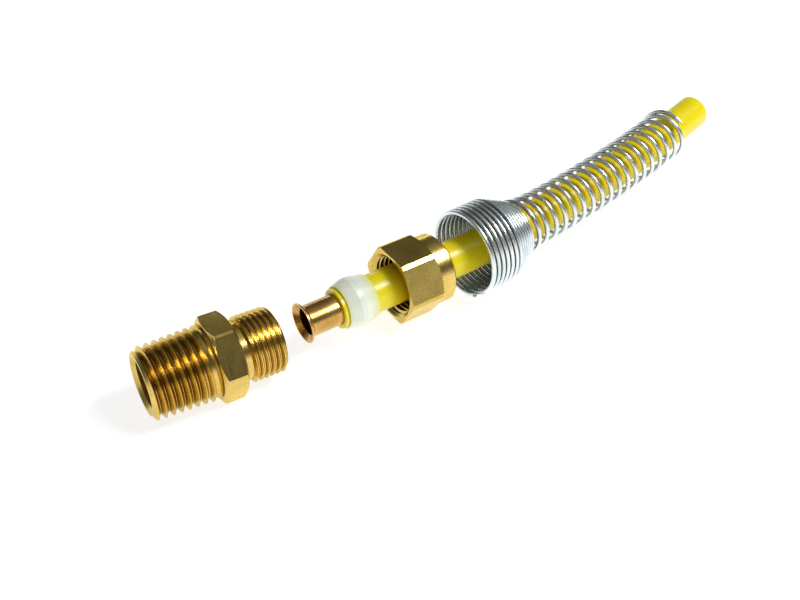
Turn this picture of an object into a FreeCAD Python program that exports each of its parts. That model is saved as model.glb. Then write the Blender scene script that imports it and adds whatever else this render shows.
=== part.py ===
"""Reusable compression fitting for a 5/16 inch nylon air hose, laid out piece by piece.

Six separate pieces lie in a row on one gently bent line: the brass adaptor, the tube support
insert, the ferrule, the compression nut, the spring guard and a short length of hose.
+X runs along the adaptor from its pipe-thread end, +Y is the side the hose bends to, +Z is up.
The origin is the centre of the adaptor's pipe-thread end face. Lengths are in millimetres.

The hose end is drawn straight on the X axis, as it sits once screwed together, and its bend is
drawn in the XY plane. Each piece is then drawn back along the hose, the whole hose end is swung
out about a distant pivot, and the plane of the swing and the bend is tilted up about X.
"""

import FreeCAD, Part
import math
import os

V = FreeCAD.Vector
INCH = 25.4

# Adaptor: 1/4-18 taper pipe thread, hexagon, 1/2-24 straight thread
PIPE_PITCH = INCH / 18
PIPE_PITCH_RADIUS = 6.063
PIPE_TOOTH_HEIGHT = 1.08
PIPE_TAPER = 1 / 32
PIPE_LENGTH = 11.9
PIPE_FADE = 2.6
PIPE_NECK_RADIUS = 6.62
PIPE_START_RADIUS = 5.75
PIPE_START_CHAMFER = 1.0
PIPE_RUNOUT = 0.2
HEX_START = 12.1
HEX_END = 16.7
HEX_FLATS = 9 / 16 * INCH
HEX_CORNER_RADIUS = 8.1
HEX_CHAMFER = math.radians(30)
HEX_FACE_INSET = 0.1
ADAPTOR_HEX_TURN = 56.0
UNDERCUT_RADIUS = 5.55
UNDERCUT_LENGTH = 1.6
UNDERCUT_BEVEL = 0.4
ADAPTOR_LENGTH = 24.8
THREAD_END_CHAMFER = 0.75
PORT_BORE_RADIUS = 4.5
PORT_COUNTERSINK = 0.7
PORT_BORE_DEPTH = 11.6
PORT_BORE_CONE = 0.7
FLOW_BORE_RADIUS = 2.8
SOCKET_SHOULDER = 14.3
SOCKET_RADIUS = 4.2
SEAT_MOUTH_RADIUS = 5.2
SEAT_DEPTH = 3.3

# The 1/2-24 thread that the adaptor and the nut share
THREAD_PITCH = INCH / 24
THREAD_PITCH_RADIUS = 6.006
THREAD_CLEARANCE = 0.06
MALE_CREST_RADIUS = 6.3
MALE_ROOT_RADIUS = 5.66
FEMALE_CREST_RADIUS = 5.77
FEMALE_ROOT_RADIUS = 6.41
MALE_PHASE = 40.0
PIPE_PHASE = 40.0
FUSE_DEPTH = 0.05
FUSE_LENGTH = 0.5
CUT_LENGTH = 1.0
HELIX_STEPS_PER_HALF_TURN = 16
FLANK_SLOPE = math.tan(math.radians(30))

# Hose: 5/16 inch outside, 1/4 inch inside
HOSE_RADIUS = 5 / 32 * INCH
HOSE_BORE_RADIUS = INCH / 8

# Tube support insert, a thin tube with a flared lip
INSERT_RADIUS = 3.1
INSERT_BORE_RADIUS = 2.7
INSERT_LENGTH = 15.5
FLARE_RADIUS = 3.95
FLARE_LENGTH = 0.9
FLARE_LIP = 0.28
FLARE_RIM = 0.25

# Ferrule, a double cone with a narrow band
FERRULE_BORE_RADIUS = 4.03
FERRULE_FRONT_RADIUS = 4.32
FERRULE_BAND_RADIUS = 5.02
FERRULE_REAR_RADIUS = 4.4
FERRULE_FRONT_LENGTH = 2.4
FERRULE_BAND_LENGTH = 1.0
FERRULE_REAR_LENGTH = 3.0

# Compression nut: hexagon with a round collar behind
NUT_HEX_LENGTH = 7.8
NUT_COLLAR_LENGTH = 3.5
NUT_COLLAR_CHAMFER = 0.5
NUT_COLLAR_RADIUS = 7.1
NUT_CORNER_RADIUS = 8.0
NUT_HEX_TURN = 21.0
NUT_MOUTH_RADIUS = 6.7
NUT_THREAD_DEPTH = 6.5
NUT_CONE_START_RADIUS = 5.5
NUT_CONE_DEPTH = 10.15
NUT_CONE_END_RADIUS = 4.55
NUT_HOLE_RADIUS = 4.17

# Spring guard: one steel wire, wound wide at the nut and narrow along the hose.
# Each station gives the turns wound so far, the place along the hose and the coil's radius.
WIRE_RADIUS = 0.475
WIRE_STEPS_PER_TURN = 16
GUARD_START_TURN = 197.0
GUARD_FRONT = 37.5
GUARD_STATIONS = [
    (0.0, GUARD_FRONT, 8.9),
    (6.6, GUARD_FRONT + 7.85, 8.9),
    (12.9, GUARD_FRONT + 13.6, 6.25),
    (14.7, GUARD_FRONT + 18.4, 5.42),
    (17.7, GUARD_FRONT + 26.8, 5.42),
    (30.7, GUARD_FRONT + 64.9, 5.42),
    (31.7, GUARD_FRONT + 66.2, 5.9),
]

# Where each piece sits on the hose line, measured from the insert's flare
HOSE_FRONT = 7.2
FERRULE_FRONT = 8.0
NUT_FRONT = 19.6
BEND_START = 30.2
BEND_RADIUS = 357.0
BEND_END = 107.5
HOSE_TAIL = 8.0

# Travels from this layout to the screwed-together fitting
FLARE_SEATED_X = 14.37
NUT_SEATED_X = 18.8
HOSE_TRAVEL = 6.2
GUARD_TRAVEL = 22.7
SWING_ANGLE = 3.49
SWING_PIVOT = V(9.9, 270.0, 0)
BEND_TILT = 45.0

NUT_TRAVEL = FLARE_SEATED_X + NUT_FRONT - NUT_SEATED_X
NUT_TURNS = NUT_TRAVEL / THREAD_PITCH


def revolved(outline):
    """Solid of revolution about X from (x, radius) points."""
    points = [V(x, r, 0) for x, r in outline]
    face = Part.Face(Part.makePolygon(points + points[:1]))
    return face.revolve(V(0, 0, 0), V(1, 0, 0), 360)


def smooth_edge(points):
    curve = Part.BSplineCurve()
    last = len(points) - 1
    curve.interpolate(Points=points, Parameters=[i / last for i in range(last + 1)])
    return curve.toShape()


def helix(radius, x_start, half_turns, pitch, phase, taper=0.0):
    """Right-hand helix about X, one smooth edge for each half turn."""
    steps = HELIX_STEPS_PER_HALF_TURN
    edges = []
    for half in range(half_turns):
        points = []
        for i in range(steps + 1):
            turn = (half + i / steps) / 2
            angle = 2 * math.pi * turn + math.radians(phase)
            along = turn * pitch
            r = radius + taper * along
            points.append(V(x_start + along, r * math.cos(angle), r * math.sin(angle)))
        edges.append(smooth_edge(points))
    return edges


def thread_ridge(base, crest, x_start, half_turns, pitch, phase, taper=0.0):
    """One helical ridge. base and crest are each (radius, half width along X)."""
    corners = [(base[0], -base[1]), (crest[0], -crest[1]), (crest[0], crest[1]), (base[0], base[1])]
    lines = [helix(r, x_start + shift, half_turns, pitch, phase, taper) for r, shift in corners]
    faces = []
    for i in range(4):
        for edge, neighbour in zip(lines[i], lines[(i + 1) % 4]):
            faces.append(Part.makeRuledSurface(edge, neighbour))
    for end in (0, -1):
        ring = [line[end].Vertexes[end].Point for line in lines]
        faces.append(Part.Face(Part.makePolygon(ring + ring[:1])))
    shell = Part.Shell(faces)
    shell.sewShape()
    solid = Part.Solid(shell)
    if solid.Volume < 0:
        solid.reverse()
    return solid


def half_width(radius, pitch_radius, pitch, clearance, outward):
    """Half the tooth's width at a radius; a tooth that points outward narrows outward."""
    slope = -FLANK_SLOPE if outward else FLANK_SLOPE
    return (pitch / 2 - clearance) / 2 + slope * (radius - pitch_radius)


def hexagon(x_start, x_end, corner_radius, turn, chamfer_ends):
    """Hexagonal bar with its corners turned round and the named ends chamfered."""
    across_corners = HEX_FLATS / 2 / math.cos(math.radians(30))
    ring = []
    for i in range(7):
        angle = math.radians(turn + 60 * i)
        ring.append(V(x_start, across_corners * math.cos(angle), across_corners * math.sin(angle)))
    bar = Part.Face(Part.makePolygon(ring)).extrude(V(x_end - x_start, 0, 0))
    face_radius = HEX_FLATS / 2 - HEX_FACE_INSET
    bevel = (corner_radius - face_radius) * math.tan(HEX_CHAMFER)
    outline = [(x_start, 0)]
    if "front" in chamfer_ends:
        outline += [(x_start, face_radius), (x_start + bevel, corner_radius)]
    else:
        outline += [(x_start, corner_radius)]
    if "back" in chamfer_ends:
        outline += [(x_end - bevel, corner_radius), (x_end, face_radius)]
    else:
        outline += [(x_end, corner_radius)]
    outline += [(x_end, 0)]
    return bar.common(revolved(outline))


def fine_thread_ridge(base_radius, crest_radius, x_start, half_turns, phase):
    """Ridge of the 1/2-24 thread, on the adaptor if the crest is outside its base, else in the nut."""
    outward = crest_radius > base_radius
    shape = []
    for radius in (base_radius, crest_radius):
        half = half_width(radius, THREAD_PITCH_RADIUS, THREAD_PITCH, THREAD_CLEARANCE, outward)
        shape.append((radius, half))
    return thread_ridge(shape[0], shape[1], x_start, half_turns, THREAD_PITCH, phase)


def make_pipe_end():
    root = PIPE_PITCH_RADIUS - PIPE_TOOTH_HEIGHT / 2
    crest = PIPE_PITCH_RADIUS + PIPE_TOOTH_HEIGHT / 2
    fade_start = PIPE_LENGTH - PIPE_FADE
    core = revolved([
        (-FUSE_LENGTH, 0),
        (-FUSE_LENGTH, root),
        (fade_start, root + PIPE_TAPER * fade_start),
        (PIPE_LENGTH, PIPE_NECK_RADIUS),
        (HEX_START + FUSE_LENGTH, PIPE_NECK_RADIUS),
        (HEX_START + FUSE_LENGTH, 0),
    ])
    base = root - FUSE_DEPTH
    x_start = -PIPE_PITCH
    lift = PIPE_TAPER * x_start
    ridge = thread_ridge(
        (base + lift, half_width(base, PIPE_PITCH_RADIUS, PIPE_PITCH, 0, True)),
        (crest + lift, half_width(crest, PIPE_PITCH_RADIUS, PIPE_PITCH, 0, True)),
        x_start,
        math.ceil(2 * (PIPE_LENGTH - x_start) / PIPE_PITCH),
        PIPE_PITCH,
        PIPE_PHASE,
        PIPE_TAPER,
    )
    neck = PIPE_NECK_RADIUS + FUSE_DEPTH / 2
    envelope = revolved([
        (0, 0),
        (0, PIPE_START_RADIUS),
        (PIPE_START_CHAMFER, PIPE_START_RADIUS + PIPE_START_CHAMFER),
        (PIPE_LENGTH - 3 * PIPE_RUNOUT, crest + PIPE_TAPER * PIPE_LENGTH),
        (PIPE_LENGTH + PIPE_RUNOUT, neck),
        (HEX_START + CUT_LENGTH, neck),
        (HEX_START + CUT_LENGTH, 0),
    ])
    return core.fuse(ridge).common(envelope)


def make_nut_end():
    thread_start = HEX_END + UNDERCUT_LENGTH
    core = revolved([
        (HEX_END - FUSE_LENGTH, 0),
        (HEX_END - FUSE_LENGTH, UNDERCUT_RADIUS),
        (thread_start, UNDERCUT_RADIUS),
        (thread_start, MALE_ROOT_RADIUS),
        (ADAPTOR_LENGTH + FUSE_LENGTH, MALE_ROOT_RADIUS),
        (ADAPTOR_LENGTH + FUSE_LENGTH, 0),
    ])
    half_turns = math.ceil(2 * (ADAPTOR_LENGTH - thread_start) / THREAD_PITCH) + 1
    ridge = fine_thread_ridge(
        MALE_ROOT_RADIUS - FUSE_DEPTH, MALE_CREST_RADIUS, thread_start, half_turns, MALE_PHASE
    )
    outside = MALE_CREST_RADIUS + UNDERCUT_BEVEL / 2
    envelope = revolved([
        (HEX_END - CUT_LENGTH, 0),
        (HEX_END - CUT_LENGTH, MALE_CREST_RADIUS),
        (thread_start - UNDERCUT_BEVEL, UNDERCUT_RADIUS + 3 * FUSE_DEPTH),
        (thread_start + UNDERCUT_BEVEL, outside),
        (ADAPTOR_LENGTH - THREAD_END_CHAMFER, outside),
        (ADAPTOR_LENGTH, MALE_ROOT_RADIUS - 2 * FUSE_DEPTH),
        (ADAPTOR_LENGTH, 0),
    ])
    return core.fuse(ridge).common(envelope)


def make_adaptor():
    hex_bar = hexagon(HEX_START, HEX_END, HEX_CORNER_RADIUS, ADAPTOR_HEX_TURN, ("front", "back"))
    passage = revolved([
        (-PORT_COUNTERSINK, 0),
        (-PORT_COUNTERSINK, PORT_BORE_RADIUS + 2 * PORT_COUNTERSINK),
        (PORT_COUNTERSINK, PORT_BORE_RADIUS),
        (PORT_BORE_DEPTH, PORT_BORE_RADIUS),
        (PORT_BORE_DEPTH + PORT_BORE_CONE, FLOW_BORE_RADIUS),
        (SOCKET_SHOULDER, FLOW_BORE_RADIUS),
        (SOCKET_SHOULDER, SOCKET_RADIUS),
        (ADAPTOR_LENGTH - SEAT_DEPTH, SOCKET_RADIUS),
        (ADAPTOR_LENGTH, SEAT_MOUTH_RADIUS),
        (ADAPTOR_LENGTH + CUT_LENGTH, SEAT_MOUTH_RADIUS),
        (ADAPTOR_LENGTH + CUT_LENGTH, 0),
    ])
    return hex_bar.fuse([make_pipe_end(), make_nut_end()]).cut(passage)


def make_insert():
    """Thin tube whose front lip flares out; drawn with the flare's rim at x = 0."""
    wall = INSERT_RADIUS - INSERT_BORE_RADIUS
    return revolved([
        (0, FLARE_RADIUS - FLARE_LIP),
        (0, FLARE_RADIUS),
        (FLARE_RIM, FLARE_RADIUS),
        (FLARE_LENGTH, INSERT_RADIUS),
        (INSERT_LENGTH - wall, INSERT_RADIUS),
        (INSERT_LENGTH, INSERT_RADIUS - wall / 2),
        (INSERT_LENGTH, INSERT_BORE_RADIUS),
        (FLARE_LENGTH, INSERT_BORE_RADIUS),
    ])


def make_ferrule():
    band_start = FERRULE_FRONT_LENGTH
    band_end = band_start + FERRULE_BAND_LENGTH
    length = band_end + FERRULE_REAR_LENGTH
    return revolved([
        (0, FERRULE_BORE_RADIUS),
        (0, FERRULE_FRONT_RADIUS),
        (band_start, FERRULE_BAND_RADIUS),
        (band_end, FERRULE_BAND_RADIUS),
        (length, FERRULE_REAR_RADIUS),
        (length, FERRULE_BORE_RADIUS),
    ])


def make_nut():
    """Drawn with its open face at x = 0; its thread is in mesh once it has travelled home."""
    length = NUT_HEX_LENGTH + NUT_COLLAR_LENGTH
    hex_bar = hexagon(0, NUT_HEX_LENGTH, NUT_CORNER_RADIUS, NUT_HEX_TURN, ("back",))
    collar = revolved([
        (NUT_HEX_LENGTH - FUSE_LENGTH, 0),
        (NUT_HEX_LENGTH - FUSE_LENGTH, NUT_COLLAR_RADIUS),
        (length - NUT_COLLAR_CHAMFER, NUT_COLLAR_RADIUS),
        (length, NUT_COLLAR_RADIUS - NUT_COLLAR_CHAMFER),
        (length, 0),
    ])
    bore = revolved([
        (-CUT_LENGTH, 0),
        (-CUT_LENGTH, FEMALE_ROOT_RADIUS),
        (NUT_THREAD_DEPTH, FEMALE_ROOT_RADIUS),
        (NUT_THREAD_DEPTH, NUT_CONE_START_RADIUS),
        (NUT_CONE_DEPTH, NUT_CONE_END_RADIUS),
        (NUT_CONE_DEPTH, NUT_HOLE_RADIUS),
        (length + CUT_LENGTH, NUT_HOLE_RADIUS),
        (length + CUT_LENGTH, 0),
    ])
    mouth_depth = NUT_MOUTH_RADIUS - NUT_HOLE_RADIUS
    mouth = revolved([
        (-2 * CUT_LENGTH, 0),
        (-2 * CUT_LENGTH, NUT_MOUTH_RADIUS + 2 * CUT_LENGTH),
        (mouth_depth, NUT_HOLE_RADIUS),
        (mouth_depth, 0),
    ])
    seated_shift = (NUT_SEATED_X - HEX_END - UNDERCUT_LENGTH) / THREAD_PITCH
    phase = MALE_PHASE - BEND_TILT + 360 * (seated_shift + NUT_TURNS)
    half_turns = 2 * math.floor((NUT_THREAD_DEPTH + THREAD_PITCH / 2) / THREAD_PITCH)
    ridge = fine_thread_ridge(
        FEMALE_ROOT_RADIUS + FUSE_DEPTH, FEMALE_CREST_RADIUS, -THREAD_PITCH / 2, half_turns, phase
    )
    return hex_bar.fuse(collar).cut(bore).fuse(ridge).cut(mouth)


def bend(point):
    """Carry a point of the straight hose line onto the bent one."""
    along = point.x - BEND_START
    if along <= 0:
        return point
    turn = along / BEND_RADIUS
    reach = BEND_RADIUS - point.y
    return V(BEND_START + reach * math.sin(turn), BEND_RADIUS - reach * math.cos(turn), point.z)


def ring_section(x, outer, inner):
    """Annular face across the straight hose line at x."""
    disc = Part.Face(Part.Wire(Part.makeCircle(outer, V(x, 0, 0), V(1, 0, 0))))
    hole = Part.Face(Part.Wire(Part.makeCircle(inner, V(x, 0, 0), V(1, 0, 0))))
    return disc.cut(hole).Faces[0]


def make_hose():
    section = ring_section(HOSE_FRONT, HOSE_RADIUS, HOSE_BORE_RADIUS)
    straight = section.extrude(V(BEND_START - HOSE_FRONT, 0, 0))
    turn = math.degrees((BEND_END - BEND_START) / BEND_RADIUS)
    centre = V(BEND_START, BEND_RADIUS, 0)
    bend_section = ring_section(BEND_START, HOSE_RADIUS, HOSE_BORE_RADIUS)
    bent = bend_section.revolve(centre, V(0, 0, 1), turn)
    tail = bend_section.extrude(V(HOSE_TAIL, 0, 0))
    tail.rotate(centre, V(0, 0, 1), turn)
    return straight.fuse([bent, tail]).removeSplitter()


def coil_point(turn):
    """Centre of the guard's wire after a number of turns, on the bent hose line."""
    before, after = GUARD_STATIONS[0], GUARD_STATIONS[1]
    for start, end in zip(GUARD_STATIONS, GUARD_STATIONS[1:]):
        if turn >= start[0]:
            before, after = start, end
    share = (turn - before[0]) / (after[0] - before[0])
    x = before[1] + share * (after[1] - before[1])
    radius = before[2] + share * (after[2] - before[2])
    angle = 2 * math.pi * turn + math.radians(GUARD_START_TURN)
    return bend(V(x, radius * math.cos(angle), radius * math.sin(angle)))


def make_guard():
    """The wire's path is split into one edge for each turn, so the swept solid stays exact."""
    turns = GUARD_STATIONS[-1][0]
    steps = round(turns * WIRE_STEPS_PER_TURN)
    line = Part.BSplineCurve()
    line.interpolate(Points=[coil_point(turns * i / steps) for i in range(steps + 1)])
    first, last = line.FirstParameter, line.LastParameter
    spans = math.ceil(turns)
    edges = []
    for i in range(spans):
        piece = line.copy()
        piece.segment(first + (last - first) * i / spans, first + (last - first) * (i + 1) / spans)
        edges.append(piece.toShape())
    path = Part.Wire(edges)
    section = Part.Wire(Part.makeCircle(WIRE_RADIUS, line.value(first), line.tangent(first)[0]))
    return path.makePipeShell([section], True, True)


def lay_out(piece, back):
    """Move a piece back along the hose line, swing it out, and tilt the bend's plane upwards."""
    piece.translate(V(FLARE_SEATED_X + back, 0, 0))
    piece.rotate(SWING_PIVOT, V(0, 0, 1), SWING_ANGLE)
    piece.rotate(V(0, 0, 0), V(1, 0, 0), BEND_TILT)
    return piece


def main():
    pieces = {
        "adaptor": make_adaptor(),
        "tube_support_insert": lay_out(make_insert(), 0),
        "ferrule": lay_out(make_ferrule(), FERRULE_FRONT),
        "compression_nut": lay_out(make_nut(), NUT_FRONT),
        "air_hose": lay_out(make_hose(), 0),
        "spring_guard": lay_out(make_guard(), 0),
    }
    os.makedirs("parts", exist_ok=True)
    for name, shape in pieces.items():
        solid = shape.Solids[0]
        solid.exportStep(f"parts/{name}.step")
        print(name, len(shape.Solids), "solid, valid", solid.isValid(), "volume", round(solid.Volume, 1))


if __name__ == "__main__":
    main()
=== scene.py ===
"""Looks for the air-hose compression fitting: materials, floor, studio light and camera.

Each piece of the fitting keeps its mesh from the frame, and only the floor is made here. Lengths
are in metres, as in the frame, and colours are linear red, green and blue.
"""

import math

import bpy
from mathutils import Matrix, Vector


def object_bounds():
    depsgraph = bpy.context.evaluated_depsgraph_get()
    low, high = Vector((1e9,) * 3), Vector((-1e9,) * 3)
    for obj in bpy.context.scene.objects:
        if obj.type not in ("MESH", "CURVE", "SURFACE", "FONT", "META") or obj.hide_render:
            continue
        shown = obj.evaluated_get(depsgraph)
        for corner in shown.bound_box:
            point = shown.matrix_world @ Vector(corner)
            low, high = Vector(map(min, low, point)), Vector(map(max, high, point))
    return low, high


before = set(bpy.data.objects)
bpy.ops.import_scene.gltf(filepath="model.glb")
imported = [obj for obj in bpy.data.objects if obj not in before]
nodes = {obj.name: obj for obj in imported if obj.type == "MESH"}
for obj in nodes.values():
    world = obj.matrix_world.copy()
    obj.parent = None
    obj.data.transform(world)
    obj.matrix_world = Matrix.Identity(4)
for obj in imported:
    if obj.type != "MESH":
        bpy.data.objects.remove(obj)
cad_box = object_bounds()
scene = bpy.context.scene

MM = 0.001
WHITE = (1.0, 1.0, 1.0)
OPENNESS_SAMPLES = 8

# Brass: stains between two shades, fine grain, and painted shade that makes the grooves browner
BRASS_DARK = (0.60, 0.42, 0.10)
BRASS_LIGHT = (0.86, 0.64, 0.20)
BRASS_EDGE_TINT = (1.0, 0.95, 0.70, 1.0)
BRASS_GRAIN = (0.84, 0.83, 0.78)
BRASS_GROOVE_PAINTED_SHADE = (0.38, 0.245, 0.07)
BRASS_PAINTED_SHADE_REACH = 1.4 * MM

# Insert: drawn golden-brown tube, with painted shade that makes it dark red inside
INSERT_DARK = (0.46, 0.24, 0.06)
INSERT_LIGHT = (0.76, 0.50, 0.16)
INSERT_INSIDE_PAINTED_SHADE = (0.34, 0.08, 0.05)
INSERT_PAINTED_SHADE_REACH = 6 * MM

# Ferrule: milky plastic; each stop is a share of its length and the colour there
FERRULE_MILK = (0.90, 0.95, 0.82)
FERRULE_STOPS = [
    (0.0, (0.90, 0.88, 0.42)),
    (0.16, FERRULE_MILK),
    (0.66, FERRULE_MILK),
    (1.0, (0.86, 0.84, 0.30)),
]
FERRULE_CLOUD_DARK = (0.86, 0.88, 0.84)
FERRULE_CLOUD_LIGHT = (0.96, 0.96, 0.96)

# Hose: yellow nylon, warmer where the nut and the guard shade it
HOSE_DARK = (0.82, 0.66, 0.0)
HOSE_LIGHT = (0.93, 0.79, 0.006)
HOSE_SHADE = (0.80, 0.58, 0.3)
HOSE_SHADE_REACH = 5 * MM

# Guard: zinc-plated wire, with painted olive-black shade between its turns, the olive a painted
# reflection of the yellow hose
ZINC_DARK = (0.60, 0.70, 0.76)
ZINC_LIGHT = (0.88, 0.92, 0.93)
ZINC_GAP_PAINTED_SHADE = (0.13, 0.13, 0.03)
ZINC_PAINTED_SHADE_REACH = 14 * MM

# Floor: white paper that glows a little
FLOOR_GAP = 0.3 * MM
FLOOR_SIZE = 6.0
FLOOR_BASE = (0.5, 0.5, 0.5, 1.0)
FLOOR_ROUGHNESS = 0.9
FLOOR_SHINE = 0.1
FLOOR_GLOW = 0.8

# Studio: dim, and its brightness changes with height; each stop is an upward share and a level
STUDIO_STOPS = [(0.0, 0.95), (0.08, 0.90), (0.14, 0.30), (0.36, 0.07), (0.8, 0.13), (1.0, 0.4)]

# Lights: name, place, size and power in watts; all of them face one point
LIGHT_TARGET = Vector((0.05, 0.0, 0.0))
LIGHTS = [
    ("key", Vector((0.25, -0.18, 0.36)), (0.22, 0.10), 1.5),
    ("rim", Vector((0.24, 0.42, 0.14)), (0.25, 0.04), 0.12),
]

# Camera: a short lens close to the adaptor's threaded end
CAMERA_PLACE = Vector((-0.0218, -0.116, 0.0938))
CAMERA_TURN = math.radians(32.4)
CAMERA_DIP = math.radians(34.8)
CAMERA_LENS = 38.25
SENSOR_WIDTH = 36.0
CAMERA_NEAR = 0.005
CAMERA_FAR = 20.0


def set_stops(color_ramp, stops):
    """Give a colour ramp, still with its first two elements, these (place, colour) stops."""
    for element, (place, color) in zip(color_ramp.elements, (stops[0], stops[-1])):
        element.position = place
        element.color = (*color, 1)
    for place, color in stops[1:-1]:
        color_ramp.elements.new(place).color = (*color, 1)


class Nodes:
    """A material's node tree, with short calls for what every material here needs."""

    def __init__(self, name):
        self.material = bpy.data.materials.new(name)
        self.material.use_nodes = True
        self.tree = self.material.node_tree
        self.shader = self.tree.nodes["Principled BSDF"]
        self.place = self.add("ShaderNodeTexCoord").outputs["Object"]

    def add(self, kind):
        return self.tree.nodes.new(kind)

    def link(self, source, target):
        self.tree.links.new(source, target)

    def set(self, **values):
        """Set the shader's plain values; an underscore stands for a space in a socket's name."""
        for key, value in values.items():
            self.shader.inputs[key.replace("_", " ")].default_value = value

    def drive(self, **sources):
        """Link outputs to the shader's sockets, named as in set."""
        for key, source in sources.items():
            self.link(source, self.shader.inputs[key.replace("_", " ")])

    def noise(self, scale, detail=3.0, stretch=(1, 1, 1)):
        """Noise with about scale features in a metre; a higher stretch packs them closer."""
        mapping = self.add("ShaderNodeMapping")
        mapping.inputs["Scale"].default_value = stretch
        self.link(self.place, mapping.inputs["Vector"])
        texture = self.add("ShaderNodeTexNoise")
        texture.inputs["Scale"].default_value = scale
        texture.inputs["Detail"].default_value = detail
        self.link(mapping.outputs["Vector"], texture.inputs["Vector"])
        return texture.outputs["Fac"]

    def ramp(self, factor, stops):
        node = self.add("ShaderNodeValToRGB")
        set_stops(node.color_ramp, stops)
        self.link(factor, node.inputs["Fac"])
        return node.outputs["Color"]

    def span(self, factor, low, high):
        """Stretch a factor of 0 to 1 over low to high."""
        node = self.add("ShaderNodeMapRange")
        node.inputs["To Min"].default_value = low
        node.inputs["To Max"].default_value = high
        self.link(factor, node.inputs["Value"])
        return node.outputs["Result"]

    def share_along(self, node_name):
        """0 at a node's low-X end and 1 at its high-X end."""
        along = [corner.co.x for corner in nodes[node_name].data.vertices]
        split = self.add("ShaderNodeSeparateXYZ")
        self.link(self.place, split.inputs["Vector"])
        node = self.add("ShaderNodeMapRange")
        node.inputs["From Min"].default_value = min(along)
        node.inputs["From Max"].default_value = max(along)
        self.link(split.outputs["X"], node.inputs["Value"])
        return node.outputs["Result"]

    def openness(self, distance, only_local=True):
        """About 1 on open surfaces, falling towards 0 down in grooves and recesses."""
        node = self.add("ShaderNodeAmbientOcclusion")
        node.samples = OPENNESS_SAMPLES
        node.only_local = only_local
        node.inputs["Distance"].default_value = distance
        return node.outputs["AO"]

    def multiply(self, first, second):
        node = self.add("ShaderNodeMixRGB")
        node.blend_type = "MULTIPLY"
        node.inputs["Fac"].default_value = 1.0
        self.link(first, node.inputs["Color1"])
        self.link(second, node.inputs["Color2"])
        return node.outputs["Color"]

    def bump(self, height, distance, strength, below=None):
        node = self.add("ShaderNodeBump")
        node.inputs["Distance"].default_value = distance
        node.inputs["Strength"].default_value = strength
        self.link(height, node.inputs["Height"])
        if below is not None:
            self.link(below, node.inputs["Normal"])
        return node.outputs["Normal"]


def brass_material():
    m = Nodes("bright_brass")
    m.set(Metallic=1.0, Specular_Tint=BRASS_EDGE_TINT)
    grain = m.noise(2800)
    stains = m.ramp(m.noise(140), [(0.3, BRASS_DARK), (0.75, BRASS_LIGHT)])
    speckled = m.multiply(stains, m.ramp(grain, [(0.35, BRASS_GRAIN), (0.60, WHITE)]))
    # painted shade: the base colour turns darker brown down in the grooves
    painted_groove_shade = m.ramp(m.openness(BRASS_PAINTED_SHADE_REACH), [(0.26, BRASS_GROOVE_PAINTED_SHADE), (0.72, WHITE)])
    turning = m.noise(900, stretch=(6, 0.4, 0.4))
    marks = m.bump(turning, distance=0.014 * MM, strength=0.8)
    m.drive(
        Base_Color=m.multiply(speckled, painted_groove_shade),
        Roughness=m.span(turning, low=0.16, high=0.30),
        Normal=m.bump(grain, distance=0.012 * MM, strength=0.7, below=marks),
    )
    return m.material


def insert_material():
    m = Nodes("reddish_tube")
    m.set(Metallic=1.0)
    stains = m.ramp(m.noise(220), [(0.3, INSERT_DARK), (0.75, INSERT_LIGHT)])
    # painted shade: the base colour turns dark red deep inside the tube
    painted_inside_shade = m.ramp(m.openness(INSERT_PAINTED_SHADE_REACH), [(0.15, INSERT_INSIDE_PAINTED_SHADE), (0.60, WHITE)])
    drawn = m.noise(700, detail=2, stretch=(0.3, 3, 3))
    m.drive(
        Base_Color=m.multiply(stains, painted_inside_shade),
        Roughness=m.span(drawn, low=0.18, high=0.34),
        Normal=m.bump(drawn, distance=0.008 * MM, strength=0.7),
    )
    return m.material


def ferrule_material():
    """Milky plastic; the yellow hose shows faintly through its thin ends."""
    m = Nodes("milky_ferrule")
    m.set(
        Roughness=0.30,
        Subsurface_Weight=0.5,
        Subsurface_Scale=0.6 * MM,
        Subsurface_Radius=(1.0, 1.0, 0.9),
    )
    glow = m.ramp(m.share_along("ferrule"), FERRULE_STOPS)
    cloud = m.ramp(m.noise(160), [(0.3, FERRULE_CLOUD_DARK), (0.7, FERRULE_CLOUD_LIGHT)])
    m.drive(
        Base_Color=m.multiply(glow, cloud),
        Normal=m.bump(m.noise(1500, detail=2), distance=0.014 * MM, strength=0.5),
    )
    return m.material


def hose_material():
    m = Nodes("yellow_nylon")
    m.set(
        Roughness=0.30,
        Subsurface_Weight=0.25,
        Subsurface_Scale=2 * MM,
        Subsurface_Radius=(1.0, 0.7, 0.02),
    )
    cloud = m.ramp(m.noise(90), [(0.3, HOSE_DARK), (0.7, HOSE_LIGHT)])
    open_share = m.openness(HOSE_SHADE_REACH, only_local=False)
    shaded = m.ramp(open_share, [(0.2, HOSE_SHADE), (0.8, WHITE)])
    drawn = m.noise(900, detail=2, stretch=(0.25, 2, 2))
    m.drive(
        Base_Color=m.multiply(cloud, shaded),
        Normal=m.bump(drawn, distance=0.010 * MM, strength=0.5),
    )
    return m.material


def guard_material():
    m = Nodes("zinc_wire")
    m.set(Metallic=1.0)
    tint = m.ramp(m.noise(260), [(0.3, ZINC_DARK), (0.7, ZINC_LIGHT)])
    # painted shade: the wire turns olive-black between its turns and inside the bell, the olive
    # a painted reflection of the yellow hose
    painted_gap_shade = m.ramp(m.openness(ZINC_PAINTED_SHADE_REACH), [(0.42, ZINC_GAP_PAINTED_SHADE), (0.82, WHITE)])
    m.drive(
        Base_Color=m.multiply(tint, painted_gap_shade),
        Roughness=m.span(m.noise(1200, detail=2), low=0.22, high=0.34),
        Normal=m.bump(m.noise(2500, detail=2), distance=0.006 * MM, strength=0.5),
    )
    return m.material


def give(node_name, material):
    for slot in nodes[node_name].material_slots:
        slot.material = material


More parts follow.
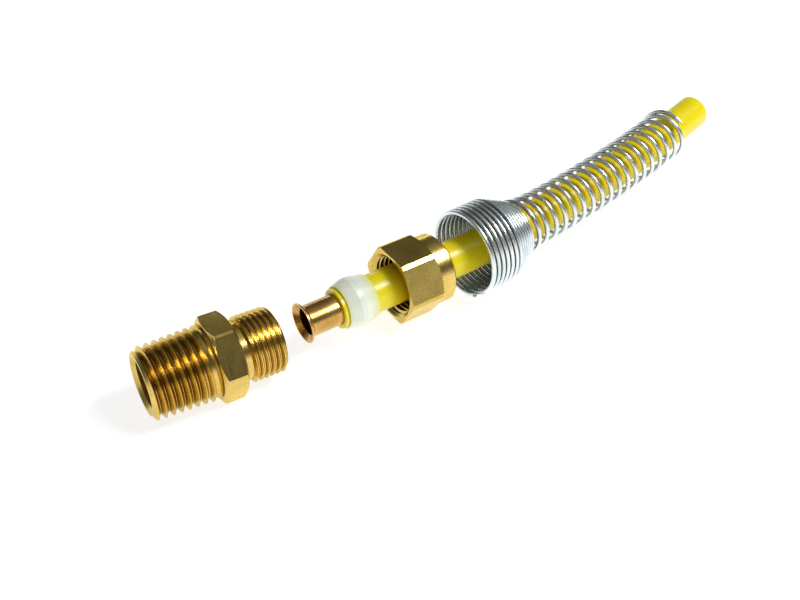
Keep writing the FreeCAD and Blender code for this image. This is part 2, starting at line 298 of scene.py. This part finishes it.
def make_floor():
    lowest = cad_box[0][2]
    bpy.ops.mesh.primitive_plane_add(size=FLOOR_SIZE, location=(0, 0, lowest - FLOOR_GAP))
    floor = bpy.context.object
    floor.name = "floor"
    paper = Nodes("pale_paper")
    paper.set(
        Base_Color=FLOOR_BASE,
        Roughness=FLOOR_ROUGHNESS,
        Specular_IOR_Level=FLOOR_SHINE,
        Emission_Color=(*WHITE, 1),
        Emission_Strength=FLOOR_GLOW,
    )
    floor.data.materials.append(paper.material)


def make_light(name, place, size, power):
    data = bpy.data.lights.new(name, "AREA")
    data.shape = "RECTANGLE"
    data.size, data.size_y = size
    data.energy = power
    lamp = bpy.data.objects.new(name, data)
    lamp.location = place
    lamp.rotation_euler = (LIGHT_TARGET - place).to_track_quat("-Z", "Y").to_euler()
    scene.collection.objects.link(lamp)


def make_studio():
    world = bpy.data.worlds.new("studio")
    world.use_nodes = True
    tree = world.node_tree
    direction = tree.nodes.new("ShaderNodeTexCoord")
    split = tree.nodes.new("ShaderNodeSeparateXYZ")
    ramp = tree.nodes.new("ShaderNodeValToRGB")
    set_stops(ramp.color_ramp, [(place, (level,) * 3) for place, level in STUDIO_STOPS])
    tree.links.new(direction.outputs["Generated"], split.inputs["Vector"])
    tree.links.new(split.outputs["Z"], ramp.inputs["Fac"])
    tree.links.new(ramp.outputs["Color"], tree.nodes["Background"].inputs["Color"])
    scene.world = world


def make_camera():
    data = bpy.data.cameras.new("camera")
    data.lens = CAMERA_LENS
    data.sensor_width = SENSOR_WIDTH
    data.clip_start = CAMERA_NEAR
    data.clip_end = CAMERA_FAR
    camera = bpy.data.objects.new("camera", data)
    camera.location = CAMERA_PLACE
    camera.rotation_euler = (math.radians(90) - CAMERA_DIP, 0, -CAMERA_TURN)
    scene.collection.objects.link(camera)
    scene.camera = camera


brass = brass_material()
give("adaptor", brass)
give("compression_nut", brass)
give("tube_support_insert", insert_material())
give("ferrule", ferrule_material())
give("air_hose", hose_material())
give("spring_guard", guard_material())

make_floor()
make_studio()
for light in LIGHTS:
    make_light(*light)
make_camera()
scene.view_settings.view_transform = "Standard"
